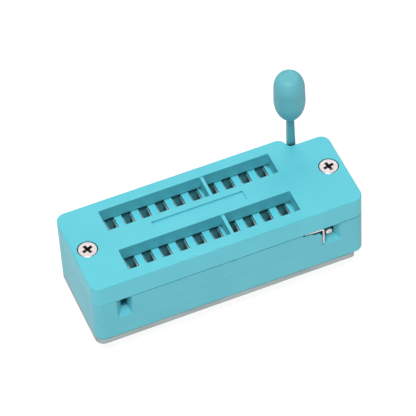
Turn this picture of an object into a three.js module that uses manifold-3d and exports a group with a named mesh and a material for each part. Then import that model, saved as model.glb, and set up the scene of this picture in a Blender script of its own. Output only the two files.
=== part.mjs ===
// A zero-insertion-force test socket for 20-contact chips, with its cam lever standing up, which is
// the open position. Folding the lever down to +X turns an eccentric that carries the slider to +X,
// and the slider's ribs close the two leaves of every contact on the chip's pins.
//
// Millimetres, +Z up. The origin is the centre of the seating plane, the underside of the bottom
// plate. +X runs along the body towards the lever's end and +Y towards the side the lever stands on.

import * as THREE from "three";
import { mergeVertices } from "three/addons/utils/BufferGeometryUtils.js";
import Module from "manifold-3d";

const wasm = await Module();
wasm.setup();

// ---------------------------------------------------------------- driving dimensions

// The contact grid: two rows on the standard dual-in-line pitch.
const CONTACTS_PER_ROW = 10;
const PITCH = 2.54;
const ROW_Y = 3.81;
const GRID_CENTRE_X = -1.51;

// The body's outline, with the step at the back right corner that the lever folds into. The step's
// left side slants, and it is rounded where it meets the back face.
const BODY_X = 20.37;
const BODY_Y = 7.47;
const CORNER_RADIUS = 1.4;
const STEP_X = 14.75;
const STEP_BACK_X = 14.0;
const STEP_Y = 5.7;
const STEP_RADIUS = 0.8;
const PLATE_END_X = 18.9;
const PLATE_END_RADIUS = 0.6;

// Levels, from the seating plane up.
const TAIL_END_Z = -3.2;
const BOTTOM_PLATE_TOP_Z = 0.92;
const BASE_BOTTOM_Z = 0.97;
const SHELF_Z = 5.1;
const BASE_TOP_Z = 8.3;
const COVER_BOTTOM_Z = 8.4;
const BLOCK_TOP_Z = 9.2;
const SLIDER_BOTTOM_Z = 9.3;
const SLIDER_TOP_Z = 9.7;
const CAVITY_TOP_Z = 9.85;
const COVER_TOP_Z = 12.05;

// The two windows in the cover and the bar that crosses each of them.
const WINDOW_X = [-14.39, 11.36];
const WINDOW_Y = [1.95, 5.71];
const BAR_X = [0.93, 1.4];
const BAR_TOP_Z = 11.85;
const LABEL_X = [-8.37, 5.4];
const LABEL_Y = [-0.8, 0.87];
const LABEL_DEPTH = 0.2;

// The cover's cavity: a wide room for the slider and a neck over the cam.
const CAVITY_X = [-16.3, 12.5];
const CAVITY_Y = 6.75;
const BLOCK_START_X = -14.9;
const NECK_END_X = 16.95;
const NECK_Y = 2.9;

// The slider and its slots.
const SLIDER_X = [-15.9, 11.7];
const SLIDER_Y = 6.5;
const SLOT_WIDTH = 1.45;
const SLOT_HALF_LENGTH = 2.45;
const SLIDER_NECK_END_X = 16.2;
const SLIDER_NECK_Y = 2.6;
const SLIDER_PAD_Y = 2.3;
const PAD_BOTTOM_Z = 8.45;

// The drive plate, stamped from thin steel sheet.
const SHEET = 0.25;
const DRIVE_Z = [8.1, 8.35];
const DRIVE_ARM_X = [11.3, 14.2];
const DRIVE_ARM_Y = [-7.43, 5.2];
const DRIVE_TONGUE_END_X = 16.2;
const DRIVE_TONGUE_Y = 2.4;
const STOP_TAB_BACK_Y = -7.18;
const STOP_TAB_BOTTOM_Z = 5.2;
const CHEEK_Y = 2.1;
const CHEEK_BOTTOM_Z = 5.6;
const PEG_X = 12.7;
const PEG_Y = 1.4;
const PEG_RADIUS = 0.45;
const PEG_END_Z = 8.07;

// The cam shaft and the travel that its eccentric gives the slider over a quarter turn.
const PIVOT_X = 15.25;
const PIVOT_Z = 6.4;
const SHAFT_RADIUS = 0.55;
const SHAFT_FRONT_Y = -6.7;
const SHAFT_HUB_Y = 5.6;
const SHAFT_BACK_Y = 6.85;
const SHAFT_END_RADIUS = 0.42;
const SHAFT_END_FLAT = 0.25;
const KEEPER_Y = [3.1, 5.1];
const SLIDER_TRAVEL = 0.6;
const ECCENTRIC_OFFSET = SLIDER_TRAVEL / 2;
const ECCENTRIC_RADIUS = 0.9;
const ECCENTRIC_HALF_LENGTH = 2.0;
const RUNNING_GAP = 0.08;

// How far a cutting tool runs past the surface that it opens.
const PAST = 1;

// The side pockets: a flared mouth on the front face that narrows to a throat. Each is given by
// its width at the floor, its width at the top and its levels.
const MOUTH_DEPTH = 1.02;
const THROAT_OVERLAP = 0.01;
const POCKET_TOP_Z = BASE_TOP_Z + PAST;
const RIGHT_MOUTH = { floorX: [13.85, 16.78], topX: [13.85, 16.78], z: [4.9, POCKET_TOP_Z] };
const RIGHT_THROAT = { floorX: [13.9, 15.95], topX: [13.9, 15.95], z: [5.75, POCKET_TOP_Z] };
const LEFT_MOUTH = { floorX: [-17.12, -14.95], topX: [-17.12, -14.8], z: [4.65, POCKET_TOP_Z] };
const LEFT_THROAT = { floorX: [-16.2, -15.35], topX: [-16.2, -14.84], z: [5.75, POCKET_TOP_Z] };
const BEARING_FRONT_Y = -5.2;

// The notch under the seam that the drive plate's front arm shows in, as [x, floor level] pairs.
const DRIVE_ROOM_START_X = 10.95;
const ARM_NOTCH_FLOOR = [
  [DRIVE_ROOM_START_X, 8.05],
  [12.2, 8],
  [12.7, 7.62],
  [13.45, 7.62],
  [13.95, 6.9],
  [14.95, 6.9],
];
const ARM_NOTCH_BACK_Y = -6.4;

// Rooms inside the base for the drive plate and for its cheeks about the cam.
const DRIVE_ROOM_FRONT_Y = -6.5;
const DRIVE_ROOM_GAP = 0.15;
const DRIVE_ROOM_FLOOR_Z = 8;
const CAM_ROOM_X = [13.45, 16.9];
const CAM_ROOM_GAP = 0.2;
const CAM_ROOM_FLOOR_Z = 5.2;

// The screws that hold the cover on the base.
const SCREW_X = 18.22;
const SCREW_HEAD_RADIUS = 1.4;
const SCREW_SHANK_RADIUS = 0.7;
const SCREW_TIP_Z = 4;
const SCREW_SEAT_Z = 11.05;
const SCREW_HEAD_TOP_Z = 12;
const SCREW_SHOULDER = 0.15;
const SCREW_POINT_RADIUS = 0.3;
const SCREW_RECESS_RADIUS = 1.5;
const SCREW_COVER_HOLE_RADIUS = 0.95;
const SCREW_BASE_HOLE_RADIUS = 0.8;
const SCREW_SEAT_GAP = 0.05;
const CROSS_LENGTH = 1.9;
const CROSS_WIDTH = 0.5;
const CROSS_DEPTH = 0.5;

// One contact, about its own centre: two leaves of stamped strip on a web, and a tail.
const STRIP = 0.2;
const LEAF_X = { moving: -0.7, fixed: 0.65 };
const MOVING_LEAF_TOP_Z = 8.8;
const FIXED_LEAF_TOP_Z = 9.6;
const LEAF_HALF_WIDTH = 1.7;
const ROOT_HALF_WIDTH = 0.9;
const LEAF_WIDENS_Z = [3.2, 5];
const WEB_BOTTOM_Z = 1.5;
const NOSE_Z = 7.2;
const NOSE_RISE = 0.4;
const NOSE_REACH = 0.18;
const TAIL_WIDTH = 0.5;
const TAIL_THICKNESS = 0.3;
const CHAMBER_HALF_X = 0.95;
const CHAMBER_HALF_Y = 2.4;
const TAIL_HOLE_GAP = 0.12;

// The lever.
const LEVER_Y = 6.45;
const HUB_RADIUS = 0.8;
const HUB_Y = [5.78, 7.12];
const STEM_HALF_THICKNESS = 0.35;
const STEM_BOTTOM_HALF_WIDTH = 0.59;
const STEM_TOP_HALF_WIDTH = 0.5;
const KNOB_BOTTOM_Z = 17.1;
const KNOB_LOWER_CENTRE_Z = 20.9;
const KNOB_UPPER_CENTRE_Z = 23.2;
const KNOB_TOP_Z = 25.55;
const KNOB_RADIUS = 2.26;
const KNOB_UPPER_RADIUS = 2.21;
const KNOB_TOP_FLAT_RADIUS = 0.8;

// Round pieces, and the depth by which two solids that are joined run into each other.
const SEGMENTS = 24;
const JOIN = 0.1;

// ---------------------------------------------------------------- solids

function solidOf(geometry) {
  geometry.deleteAttribute("normal");
  geometry.deleteAttribute("uv");
  const merged = mergeVertices(geometry, 1e-4);
  return new wasm.Manifold(
    new wasm.Mesh({
      numProp: 3,
      vertProperties: new Float32Array(merged.attributes.position.array),
      triVerts: new Uint32Array(merged.index.array),
    }),
  );
}

function box([x0, x1], [y0, y1], [z0, z1]) {
  const geometry = new THREE.BoxGeometry(x1 - x0, y1 - y0, z1 - z0);
  geometry.translate((x0 + x1) / 2, (y0 + y1) / 2, (z0 + z1) / 2);
  return solidOf(geometry);
}

function extruded(shape, depth) {
  return new THREE.ExtrudeGeometry(shape, { depth, bevelEnabled: false, curveSegments: 6 });
}

// A shape drawn in X and Y, standing between two levels.
function prismZ(shape, [z0, z1]) {
  return solidOf(extruded(shape, z1 - z0).translate(0, 0, z0));
}

// A shape drawn in X and Z, running along Y.
function prismY(shape, [y0, y1]) {
  return solidOf(extruded(shape, y1 - y0).rotateX(Math.PI / 2).translate(0, y1, 0));
}

// A shape drawn in Y and Z, running along X.
function prismX(shape, [x0, x1]) {
  const turn = new THREE.Matrix4().makeBasis(
    new THREE.Vector3(0, 1, 0),
    new THREE.Vector3(0, 0, 1),
    new THREE.Vector3(1, 0, 0),
  );
  return solidOf(extruded(shape, x1 - x0).applyMatrix4(turn).translate(x0, 0, 0));
}

function cylinderY(radius, [y0, y1], x, z) {
  const geometry = new THREE.CylinderGeometry(radius, radius, y1 - y0, SEGMENTS);
  return solidOf(geometry.translate(x, (y0 + y1) / 2, z));
}

function cylinderZ(radius, [z0, z1], x, y) {
  const geometry = new THREE.CylinderGeometry(radius, radius, z1 - z0, SEGMENTS);
  return solidOf(geometry.rotateX(Math.PI / 2).translate(x, y, (z0 + z1) / 2));
}

// A profile of [radius, height] pairs turned about a vertical axis at x, y.
function turned(profile, x, y) {
  const points = profile.map(([radius, height]) => new THREE.Vector2(radius, height));
  return solidOf(new THREE.LatheGeometry(points, SEGMENTS).rotateX(Math.PI / 2).translate(x, y, 0));
}

function polygon(points) {
  return new THREE.Shape(points.map(([a, b]) => new THREE.Vector2(a, b)));
}

// The span on the other side of zero.
function mirrored([start, end]) {
  return [-end, -start];
}

// A pocket between a section on the front face and another one behind it.
function flare(mouth, mouthY, throat, throatY) {
  const corners = ({ floorX, topX, z }, y) => [
    [floorX[0], y, z[0]],
    [floorX[1], y, z[0]],
    [topX[1], y, z[1]],
    [topX[0], y, z[1]],
  ];
  const vertices = [...corners(mouth, mouthY), ...corners(throat, throatY)].flat();
  const geometry = new THREE.BufferGeometry();
  geometry.setAttribute("position", new THREE.Float32BufferAttribute(vertices, 3));
  const front = [0, 1, 2, 0, 2, 3];
  const back = [4, 6, 5, 4, 7, 6];
  const floor = [0, 4, 5, 0, 5, 1];
  const right = [1, 5, 6, 1, 6, 2];
  const roof = [3, 2, 6, 3, 6, 7];
  const left = [0, 3, 7, 0, 7, 4];
  geometry.setIndex([...front, ...back, ...floor, ...right, ...roof, ...left]);
  return solidOf(geometry);
}

function joined(solids) {
  return solids.reduce((whole, solid) => whole.add(solid));
}

function cut(whole, tools) {
  return tools.reduce((rest, tool) => rest.subtract(tool), whole);
}

// ---------------------------------------------------------------- materials and nodes

const plastic = (color, roughness) => () =>
  new THREE.MeshStandardMaterial({ color, roughness, metalness: 0 });
const metal = (color, roughness) => () =>
  new THREE.MeshStandardMaterial({ color, roughness, metalness: 1 });
const coverPlastic = plastic(0x75d4e4, 0.5);
const basePlastic = plastic(0x72bac8, 0.55);
const sliderPlastic = plastic(0x74d6e6, 0.5);
const leverPlastic = plastic(0x62b4c2, 0.5);
const greyPlastic = plastic(0xa9b6b4, 0.7);
const springSteel = metal(0xd8d5d2, 0.3);
const screwSteel = metal(0xcfccca, 0.25);

const socket = new THREE.Group();

function addNode(name, solid, material, group = socket) {
  const { numProp, vertProperties, triVerts } = solid.getMesh();
  const positions = new Float32Array((vertProperties.length / numProp) * 3);
  for (let i = 0; i < positions.length / 3; i++)
    positions.set(vertProperties.subarray(i * numProp, i * numProp + 3), i * 3);
  const geometry = new THREE.BufferGeometry();
  geometry.setAttribute("position", new THREE.BufferAttribute(positions, 3));
  geometry.setIndex(new THREE.BufferAttribute(new Uint32Array(triVerts), 1));
  geometry.computeVertexNormals();
  const mesh = new THREE.Mesh(geometry, material());
  mesh.name = name;
  group.add(mesh);
  return mesh;
}

// ---------------------------------------------------------------- the contact grid

const contactX = (index) => GRID_CENTRE_X + (index - (CONTACTS_PER_ROW - 1) / 2) * PITCH;

// Contacts 1 to 10 run along the front row to +X, and 11 to 20 come back along the back row.
const contactPlaces = [];
for (let i = 0; i < CONTACTS_PER_ROW; i++) contactPlaces.push([contactX(i), -ROW_Y]);
for (let i = CONTACTS_PER_ROW - 1; i >= 0; i--) contactPlaces.push([contactX(i), ROW_Y]);

// A straight-sided well at every place of the grid.
function gridOfBoxes(halfX, halfY, levels) {
  return contactPlaces.map(([x, y]) =>
    box([x - halfX, x + halfX], [y - halfY, y + halfY], levels),
  );
}

// ---------------------------------------------------------------- the shells

// The body seen from above, with or without the lever's step in its back right corner.
function bodyOutline(hasStep) {
  const r = CORNER_RADIUS;
  const backY = hasStep ? STEP_Y : BODY_Y;
  const shape = new THREE.Shape();
  shape.moveTo(-BODY_X + r, -BODY_Y);
  shape.lineTo(BODY_X - r, -BODY_Y);
  shape.absarc(BODY_X - r, -BODY_Y + r, r, -Math.PI / 2, 0);
  shape.lineTo(BODY_X, backY - r);
  shape.absarc(BODY_X - r, backY - r, r, 0, Math.PI / 2);
  if (hasStep) {
    const slant = (STEP_X - STEP_BACK_X) / (BODY_Y - STEP_Y);
    shape.lineTo(STEP_X, STEP_Y);
    shape.lineTo(STEP_BACK_X + slant * STEP_RADIUS, BODY_Y - STEP_RADIUS);
    shape.quadraticCurveTo(STEP_BACK_X, BODY_Y, STEP_BACK_X - STEP_RADIUS, BODY_Y);
  }
  shape.lineTo(-BODY_X + r, BODY_Y);
  shape.absarc(-BODY_X + r, BODY_Y - r, r, Math.PI / 2, Math.PI);
  shape.lineTo(-BODY_X, -BODY_Y + r);
  shape.absarc(-BODY_X + r, -BODY_Y + r, r, Math.PI, 1.5 * Math.PI);
  return shape;
}

// The ribs under the cover that hold the shaft down in its groove.
function shaftKeepers() {
  const armEndX = DRIVE_ARM_X[1] + SLIDER_TRAVEL;
  const width = [armEndX + RUNNING_GAP, PIVOT_X + SHAFT_RADIUS - RUNNING_GAP];
  const levels = [PIVOT_Z + SHAFT_RADIUS + RUNNING_GAP, COVER_BOTTOM_Z + JOIN];
  return [box(width, mirrored(KEEPER_Y), levels), box(width, KEEPER_Y, levels)];
}

function topCover() {
  const block = prismZ(bodyOutline(true), [COVER_BOTTOM_Z, COVER_TOP_Z]);
  const room = [COVER_BOTTOM_Z - PAST, CAVITY_TOP_Z];
  const through = [COVER_BOTTOM_Z, COVER_TOP_Z + PAST];
  const windows = [mirrored(WINDOW_Y), WINDOW_Y];
  const openings = [
    box(CAVITY_X, [-CAVITY_Y, CAVITY_Y], room),
    box([CAVITY_X[1] - JOIN, NECK_END_X], [-NECK_Y, NECK_Y], room),
    ...windows.map((y) => box(WINDOW_X, y, through)),
    box(LABEL_X, LABEL_Y, [COVER_TOP_Z - LABEL_DEPTH, COVER_TOP_Z + PAST]),
  ];
  for (const x of [-SCREW_X, SCREW_X]) {
    openings.push(cylinderZ(SCREW_COVER_HOLE_RADIUS, [COVER_BOTTOM_Z - PAST, COVER_TOP_Z], x, 0));
    openings.push(cylinderZ(SCREW_RECESS_RADIUS, [SCREW_SEAT_Z, COVER_TOP_Z + PAST], x, 0));
  }
  const bars = windows.map(([y0, y1]) =>
    box(BAR_X, [y0 - JOIN, y1 + JOIN], [CAVITY_TOP_Z, BAR_TOP_Z]),
  );
  return joined([cut(block, openings), ...bars, ...shaftKeepers()]);
}

// The long notch under the seam where the drive plate's front arm shows.
function armNotch() {
  const [first, last] = [ARM_NOTCH_FLOOR[0], ARM_NOTCH_FLOOR.at(-1)];
  const outline = [[first[0], POCKET_TOP_Z], ...ARM_NOTCH_FLOOR, [last[0], POCKET_TOP_Z]];
  return prismY(polygon(outline), [-BODY_Y - PAST, ARM_NOTCH_BACK_Y]);
}

// A side pocket: its flared mouth and the straight throat behind it, up to a level of Y.
function sidePocket(mouth, throat, endY) {
  const throatY = -BODY_Y + MOUTH_DEPTH;
  return [
    flare(mouth, -BODY_Y, throat, throatY),
    flare(throat, throatY - THROAT_OVERLAP, throat, endY),
  ];
}

// The groove that the shaft turns in, open at the top and round at the bottom.
function shaftGroove(y) {
  const radius = SHAFT_RADIUS + RUNNING_GAP;
  const sides = [PIVOT_X - radius, PIVOT_X + radius];
  return cylinderY(radius, y, PIVOT_X, PIVOT_Z).add(box(sides, y, [PIVOT_Z, POCKET_TOP_Z]));
}

function baseHousing() {
  const lower = prismZ(bodyOutline(false), [BASE_BOTTOM_Z, SHELF_Z]);
  const upper = prismZ(bodyOutline(true), [SHELF_Z, BASE_TOP_Z]);
  const blockY = CAVITY_Y - DRIVE_ROOM_GAP;
  const block = box(
    [BLOCK_START_X, DRIVE_ROOM_START_X],
    [-blockY, blockY],
    [BASE_TOP_Z, BLOCK_TOP_Z],
  );
  const driveLevels = [DRIVE_ROOM_FLOOR_Z, POCKET_TOP_Z];
  const armRoom = box(
    [DRIVE_ROOM_START_X, DRIVE_ARM_X[1] + SLIDER_TRAVEL + DRIVE_ROOM_GAP],
    [DRIVE_ROOM_FRONT_Y, DRIVE_ARM_Y[1] + DRIVE_ROOM_GAP],
    driveLevels,
  );
  const tongueRoom = box(
    [DRIVE_ROOM_START_X, NECK_END_X],
    [-DRIVE_TONGUE_Y - DRIVE_ROOM_GAP, DRIVE_TONGUE_Y + DRIVE_ROOM_GAP],
    driveLevels,
  );
  const camRoom = box(
    CAM_ROOM_X,
    [-CHEEK_Y - CAM_ROOM_GAP, CHEEK_Y + CAM_ROOM_GAP],
    [CAM_ROOM_FLOOR_Z, POCKET_TOP_Z],
  );
  const hubRoom = [STEP_Y, BODY_Y + PAST];
  const tools = [
    ...gridOfBoxes(CHAMBER_HALF_X, CHAMBER_HALF_Y, [BASE_BOTTOM_Z - PAST, BLOCK_TOP_Z + PAST]),
    ...sidePocket(RIGHT_MOUTH, RIGHT_THROAT, BEARING_FRONT_Y),
    ...sidePocket(LEFT_MOUTH, LEFT_THROAT, -BEARING_FRONT_Y),
    armNotch(),
    armRoom,
    tongueRoom,
    camRoom,
    shaftGroove([BEARING_FRONT_Y - JOIN, BODY_Y]),
    cylinderY(HUB_RADIUS + RUNNING_GAP, hubRoom, PIVOT_X, PIVOT_Z),
  ];
  const screwHole = [SCREW_TIP_Z - CAM_ROOM_GAP, POCKET_TOP_Z];
  for (const x of [-SCREW_X, SCREW_X])
    tools.push(cylinderZ(SCREW_BASE_HOLE_RADIUS, screwHole, x, 0));
  return cut(joined([lower, upper, block]), tools);
}

// The plate seen from above: it follows the body but ends a little short of it at the right.
function plateOutline() {
  const [r, end] = [CORNER_RADIUS, PLATE_END_RADIUS];
  const shape = new THREE.Shape();
  shape.moveTo(-BODY_X + r, -BODY_Y);
  shape.lineTo(PLATE_END_X - end, -BODY_Y);
  shape.absarc(PLATE_END_X - end, -BODY_Y + end, end, -Math.PI / 2, 0);
  shape.lineTo(PLATE_END_X, BODY_Y - end);
  shape.absarc(PLATE_END_X - end, BODY_Y - end, end, 0, Math.PI / 2);
  shape.lineTo(-BODY_X + r, BODY_Y);
  shape.absarc(-BODY_X + r, BODY_Y - r, r, Math.PI / 2, Math.PI);
  shape.lineTo(-BODY_X, -BODY_Y + r);
  shape.absarc(-BODY_X + r, -BODY_Y + r, r, Math.PI, 1.5 * Math.PI);
  return shape;
}

function bottomPlate() {
  const plate = prismZ(plateOutline(), [0, BOTTOM_PLATE_TOP_Z]);
  const holeHalfX = TAIL_THICKNESS / 2 + TAIL_HOLE_GAP;
  const holeHalfY = TAIL_WIDTH / 2 + TAIL_HOLE_GAP;
  return cut(plate, gridOfBoxes(holeHalfX, holeHalfY, [-PAST, BOTTOM_PLATE_TOP_Z + PAST]));
}

// ---------------------------------------------------------------- the moving plates

function sliderPlate() {
  const levels = [SLIDER_BOTTOM_Z, SLIDER_TOP_Z];
  const plate = box(SLIDER_X, [-SLIDER_Y, SLIDER_Y], levels);
  const neck = box(
    [SLIDER_X[1] - JOIN, SLIDER_NECK_END_X],
    [-SLIDER_NECK_Y, SLIDER_NECK_Y],
    levels,
  );
  const pad = box(
    [SLIDER_X[1], SLIDER_NECK_END_X],
    [-SLIDER_PAD_Y, SLIDER_PAD_Y],
    [PAD_BOTTOM_Z, SLIDER_BOTTOM_Z + JOIN],
  );
  const pegs = [-PEG_Y, PEG_Y].map((y) =>
    cylinderZ(PEG_RADIUS, [PEG_END_Z, PAD_BOTTOM_Z + JOIN], PEG_X, y),
  );
  const slots = gridOfBoxes(SLOT_WIDTH / 2, SLOT_HALF_LENGTH, [0, COVER_TOP_Z]);
  return joined([cut(joined([plate, neck]), slots), pad, ...pegs]);
}

function drivePlate() {
  const arm = box(DRIVE_ARM_X, DRIVE_ARM_Y, DRIVE_Z);
  const tongue = box(
    [DRIVE_ARM_X[1] - JOIN, DRIVE_TONGUE_END_X],
    [-DRIVE_TONGUE_Y, DRIVE_TONGUE_Y],
    DRIVE_Z,
  );
  const stopTab = box(
    [DRIVE_ARM_X[1] - SHEET, DRIVE_ARM_X[1]],
    [DRIVE_ARM_Y[0], STOP_TAB_BACK_Y],
    [STOP_TAB_BOTTOM_Z, DRIVE_Z[1]],
  );
  const eccentricX = PIVOT_X - ECCENTRIC_OFFSET;
  const reach = ECCENTRIC_RADIUS + RUNNING_GAP;
  const cheeks = [
    [eccentricX - reach - SHEET, eccentricX - reach],
    [eccentricX + reach, eccentricX + reach + SHEET],
  ].map((x) => box(x, [-CHEEK_Y, CHEEK_Y], [CHEEK_BOTTOM_Z, DRIVE_Z[1]]));
  const holes = [-PEG_Y, PEG_Y].map((y) =>
    cylinderZ(PEG_RADIUS + RUNNING_GAP, [DRIVE_Z[0] - PAST, DRIVE_Z[1] + PAST], PEG_X, y),
  );
  return cut(joined([arm, tongue, stopTab, ...cheeks]), holes);
}

// ---------------------------------------------------------------- one contact

// The two leaves and their web, seen along Y: each leaf has a nose that grips the pin.
function contactProfile() {
  const left = LEAF_X.moving;
  const right = LEAF_X.fixed;
  const webTop = WEB_BOTTOM_Z + STRIP;
  const [low, high] = [NOSE_Z - NOSE_RISE, NOSE_Z + NOSE_RISE];
  return polygon([
    [left, WEB_BOTTOM_Z],
    [right, WEB_BOTTOM_Z],
    [right, low],
    [right - NOSE_REACH, NOSE_Z],
    [right, high],
    [right, FIXED_LEAF_TOP_Z],
    [right - STRIP, FIXED_LEAF_TOP_Z],
    [right - STRIP, high],
    [right - STRIP - NOSE_REACH, NOSE_Z],
    [right - STRIP, low],
    [right - STRIP, webTop],
    [left + STRIP, webTop],
    [left + STRIP, low],
    [left + STRIP + NOSE_REACH, NOSE_Z],
    [left + STRIP, high],
    [left + STRIP, MOVING_LEAF_TOP_Z],
    [left, MOVING_LEAF_TOP_Z],
    [left, high],
    [left + NOSE_REACH, NOSE_Z],
    [left, low],
  ]);
}

// The leaves seen along X: narrow at the web and full width from half way up.
function leafOutline() {
  const [low, high] = [WEB_BOTTOM_Z - PAST, FIXED_LEAF_TOP_Z + PAST];
  const [narrow, wide] = LEAF_WIDENS_Z;
  return polygon([
    [-ROOT_HALF_WIDTH, low],
    [ROOT_HALF_WIDTH, low],
    [ROOT_HALF_WIDTH, narrow],
    [LEAF_HALF_WIDTH, wide],
    [LEAF_HALF_WIDTH, high],
    [-LEAF_HALF_WIDTH, high],
    [-LEAF_HALF_WIDTH, wide],
    [-ROOT_HALF_WIDTH, narrow],
  ]);
}

function contact() {
  const leaves = prismY(contactProfile(), [-LEAF_HALF_WIDTH, LEAF_HALF_WIDTH]);
  const trimmed = leaves.intersect(prismX(leafOutline(), [-CHAMBER_HALF_X, CHAMBER_HALF_X]));
  const tail = box(
    [-TAIL_THICKNESS / 2, TAIL_THICKNESS / 2],
    [-TAIL_WIDTH / 2, TAIL_WIDTH / 2],
    [TAIL_END_Z, WEB_BOTTOM_Z + STRIP / 2],
  );
  return trimmed.add(tail);
}

// ---------------------------------------------------------------- the shaft and the lever

// A shaft end with a flat on top, which keys it to the lever.
function keyedEnd(radius, flat, y) {
  const aboveFlat = box([PIVOT_X - PAST, PIVOT_X + PAST], y, [PIVOT_Z + flat, PIVOT_Z + PAST]);
  return cylinderY(radius, y, PIVOT_X, PIVOT_Z).subtract(aboveFlat);
}

function camShaft() {
  const rod = cylinderY(SHAFT_RADIUS, [SHAFT_FRONT_Y, SHAFT_HUB_Y], PIVOT_X, PIVOT_Z);
  const eccentric = cylinderY(
    ECCENTRIC_RADIUS,
    [-ECCENTRIC_HALF_LENGTH, ECCENTRIC_HALF_LENGTH],
    PIVOT_X - ECCENTRIC_OFFSET,
    PIVOT_Z + ECCENTRIC_OFFSET,
  );
  const end = keyedEnd(SHAFT_END_RADIUS, SHAFT_END_FLAT, [SHAFT_HUB_Y - JOIN, SHAFT_BACK_Y]);
  return joined([rod, eccentric, end]);
}

// The stem seen along Y, wider at the hub than under the knob.
function stemOutline() {
  return polygon([
    [PIVOT_X - STEM_BOTTOM_HALF_WIDTH, PIVOT_Z],
    [PIVOT_X + STEM_BOTTOM_HALF_WIDTH, PIVOT_Z],
    [PIVOT_X + STEM_BOTTOM_HALF_WIDTH, COVER_TOP_Z],
    [PIVOT_X + STEM_TOP_HALF_WIDTH, KNOB_BOTTOM_Z],
    [PIVOT_X + STEM_TOP_HALF_WIDTH, KNOB_LOWER_CENTRE_Z],
    [PIVOT_X - STEM_TOP_HALF_WIDTH, KNOB_LOWER_CENTRE_Z],
    [PIVOT_X - STEM_TOP_HALF_WIDTH, KNOB_BOTTOM_Z],
    [PIVOT_X - STEM_BOTTOM_HALF_WIDTH, COVER_TOP_Z],
  ]);
}

// The knob's half outline: a tapered bottom, a nearly straight waist, and a top that rounds over
// to a small flat.
function knobProfile() {
  const profile = [[0, KNOB_BOTTOM_Z]];
  const steps = 6;
  const lowerHeight = KNOB_LOWER_CENTRE_Z - KNOB_BOTTOM_Z;
  const upperHeight = KNOB_TOP_Z - KNOB_UPPER_CENTRE_Z;
  const shoulder = KNOB_UPPER_RADIUS - KNOB_TOP_FLAT_RADIUS;
  for (let i = 1; i <= steps; i++) {
    const angle = (i / steps) * (Math.PI / 2);
    profile.push([
      KNOB_RADIUS * Math.sin(angle),
      KNOB_LOWER_CENTRE_Z - lowerHeight * Math.cos(angle),
    ]);
  }
  for (let i = 0; i <= steps; i++) {
    const angle = (i / steps) * (Math.PI / 2);
    profile.push([
      KNOB_TOP_FLAT_RADIUS + shoulder * Math.cos(angle),
      KNOB_UPPER_CENTRE_Z + upperHeight * Math.sin(angle),
    ]);
  }
  profile.push([0, KNOB_TOP_Z]);
  return profile;
}

function leverHandle() {
  const hub = cylinderY(HUB_RADIUS, HUB_Y, PIVOT_X, PIVOT_Z);
  const stemY = [LEVER_Y - STEM_HALF_THICKNESS, LEVER_Y + STEM_HALF_THICKNESS];
  const stem = prismY(stemOutline(), stemY);
  const knob = turned(knobProfile(), PIVOT_X, LEVER_Y);
  const socketY = [HUB_Y[0] - PAST, SHAFT_BACK_Y + RUNNING_GAP];
  const keyHole = keyedEnd(SHAFT_END_RADIUS + RUNNING_GAP, SHAFT_END_FLAT + RUNNING_GAP, socketY);
  return joined([hub, stem, knob]).subtract(keyHole);
}

// ---------------------------------------------------------------- screws

// A screw with a flat rounded head and a cross recess turned by an angle.
function coverScrew(x, angle) {
  const seat = SCREW_SEAT_Z + SCREW_SEAT_GAP;
  const profile = [
    [0, SCREW_TIP_Z],
    [SCREW_POINT_RADIUS, SCREW_TIP_Z],
    [SCREW_SHANK_RADIUS, SCREW_TIP_Z + 1],
    [SCREW_SHANK_RADIUS, seat],
    [SCREW_HEAD_RADIUS, seat],
    [SCREW_HEAD_RADIUS, SCREW_HEAD_TOP_Z - SCREW_SHOULDER],
    [SCREW_HEAD_RADIUS - SCREW_SHOULDER, SCREW_HEAD_TOP_Z - SCREW_SHOULDER / 4],
    [SCREW_HEAD_RADIUS / 2, SCREW_HEAD_TOP_Z],
    [0, SCREW_HEAD_TOP_Z],
  ];
  const levels = [SCREW_HEAD_TOP_Z - CROSS_DEPTH, SCREW_HEAD_TOP_Z + PAST];
  const [long, wide] = [CROSS_LENGTH / 2, CROSS_WIDTH / 2];
  const cross = box([-long, long], [-wide, wide], levels).add(
    box([-wide, wide], [-long, long], levels),
  );
  return turned(profile, x, 0).subtract(cross.rotate([0, 0, angle]).translate([x, 0, 0]));
}

// ---------------------------------------------------------------- assembly

addNode("base_housing", baseHousing(), basePlastic);
addNode("bottom_plate", bottomPlate(), greyPlastic);
addNode("top_cover", topCover(), coverPlastic);
addNode("screw_left", coverScrew(-SCREW_X, 20), screwSteel);
addNode("screw_right", coverScrew(SCREW_X, 12), screwSteel);

const contacts = new THREE.Group();
socket.add(contacts);
const contactSolid = contact();
contactPlaces.forEach(([x, y], index) => {
  const name = "contact_" + String(index + 1).padStart(2, "0");
  addNode(name, contactSolid, springSteel, contacts).position.set(x, y, 0);
});

const slider = new THREE.Group();
socket.add(slider);
addNode("slider_plate", sliderPlate(), sliderPlastic, slider);
addNode("drive_plate", drivePlate(), springSteel, slider);

const lever = new THREE.Group();
socket.add(lever);
addNode("cam_shaft", camShaft(), springSteel, lever);
addNode("lever_handle", leverHandle(), leverPlastic, lever);

export default socket;
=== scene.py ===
# %% [markdown]
# # A zero-insertion-force chip socket
# The socket is a small cyan moulding that grips a 20-pin chip. Two windows in its cover show a
# ribbed bed that slides when the lever is folded down, and every slot of the bed shows the leaves of
# one stamped contact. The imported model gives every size; this script rebuilds each piece with the
# fine edges, bends and finishes that the real mouldings and stampings have.
#
# The shapes are worked in millimetres, because a boolean cut is more reliable on numbers near one,
# and each finished piece is brought to metres once, at the end.

# %% Load the frame and keep its box
import math

import bmesh
import bpy
from mathutils import Matrix, Vector


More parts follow.
